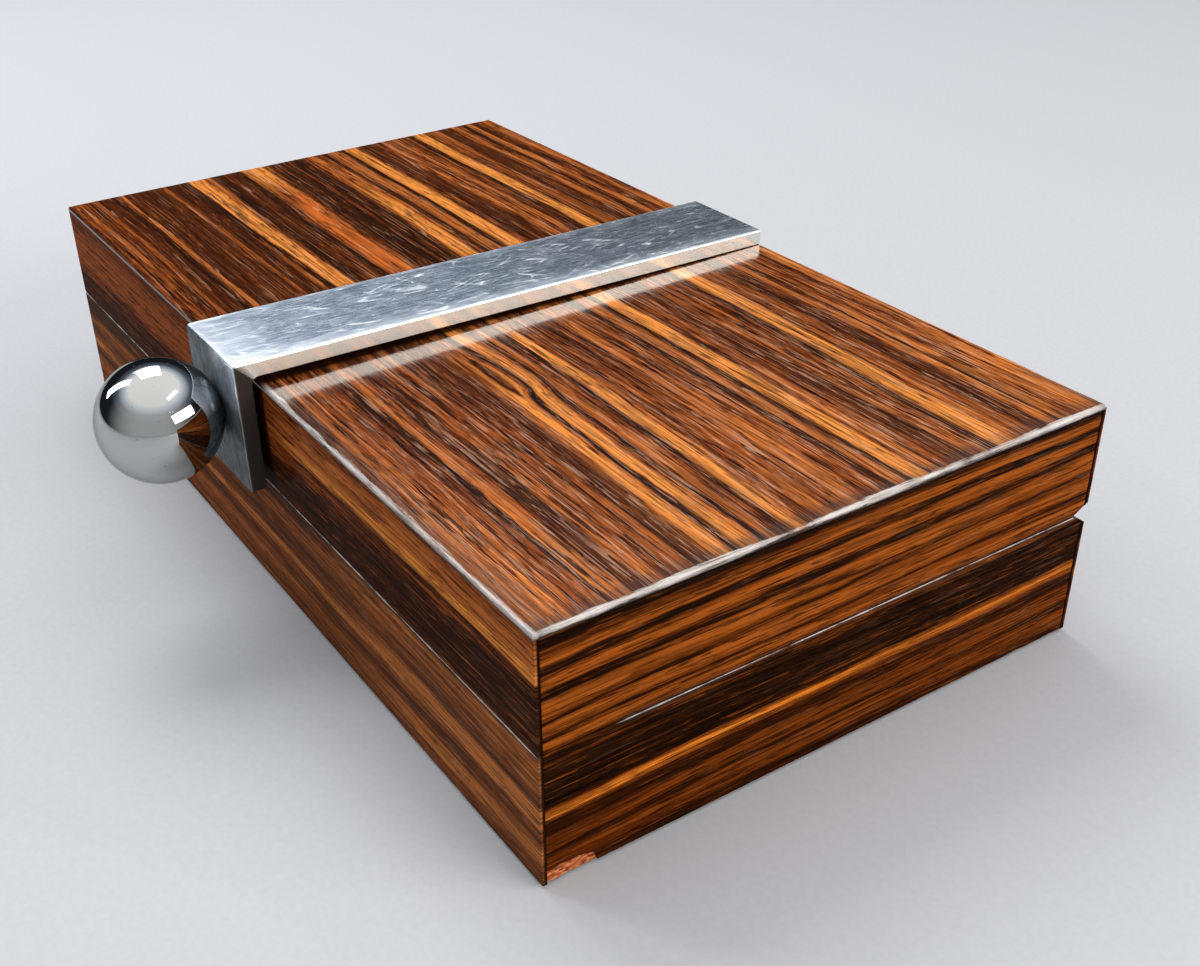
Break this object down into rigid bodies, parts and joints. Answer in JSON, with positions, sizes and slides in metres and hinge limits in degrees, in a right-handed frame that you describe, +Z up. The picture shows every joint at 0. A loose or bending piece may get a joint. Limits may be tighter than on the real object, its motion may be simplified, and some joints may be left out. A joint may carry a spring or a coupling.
{
  "type": "veneered box",
  "caption": "Low rectangular table box in striped dark veneer with a hinged lid, a flat metal strap over the lid and a polished ball as its lift handle.",
  "frame": {"origin": "centre of the underside, on the surface the box stands on", "axes": "+X along the front to the right, +Y from the ball handle at the front to the hinges at the back, +Z up"},
  "size_m": [0.18, 0.1251, 0.0457],
  "materials": {
    "veneer": "striped dark brown and black veneer, polished",
    "carcass": "plain brown hardwood",
    "lining": "thin reddish cedar",
    "felt": "black felt",
    "strap": "nickel plate, brushed by wear",
    "ball_knob": "mirror polish",
    "steel_screws": "plain steel",
    "hinge_brass": "dull brass"
  },
  "bodies": {
    "base": {"base_back_lining": "lining", "base_back_veneer": "veneer", "base_back_wall": "carcass", "base_felt": "felt", "base_floor": "carcass", "base_floor_lining": "lining", "base_front_lining": "lining", "base_front_veneer": "veneer", "base_front_wall": "carcass", "base_left_lining": "lining", "base_left_veneer": "veneer", "base_left_wall": "carcass", "base_right_lining": "lining", "base_right_veneer": "veneer", "base_right_wall": "carcass", "hinge_base_screws": "hinge_brass", "left_hinge_base_leaf": "hinge_brass", "left_hinge_pin": "hinge_brass", "right_hinge_base_leaf": "hinge_brass", "right_hinge_pin": "hinge_brass"},
    "lid": {"ball_knob": "ball_knob", "ball_screw": "steel_screws", "hinge_lid_screws": "hinge_brass", "left_hinge_lid_leaf": "hinge_brass", "lid_back_lining": "lining", "lid_back_veneer": "veneer", "lid_back_wall": "carcass", "lid_front_lining": "lining", "lid_front_veneer": "veneer", "lid_front_wall": "carcass", "lid_left_lining": "lining", "lid_left_veneer": "veneer", "lid_left_wall": "carcass", "lid_panel": "carcass", "lid_panel_lining": "lining", "lid_right_lining": "lining", "lid_right_veneer": "veneer", "lid_right_wall": "carcass", "lid_top_veneer": "veneer", "right_hinge_lid_leaf": "hinge_brass", "strap": "strap", "strap_screws": "steel_screws"}
  },
  "joints": [
    {"name": "lid_hinge", "type": "hinge", "parent": "base", "child": "lid", "pos_m": [0, 0.04905, 0.0227], "axis": [-1, 0, 0], "range_deg": [0, 100]}
  ]
}
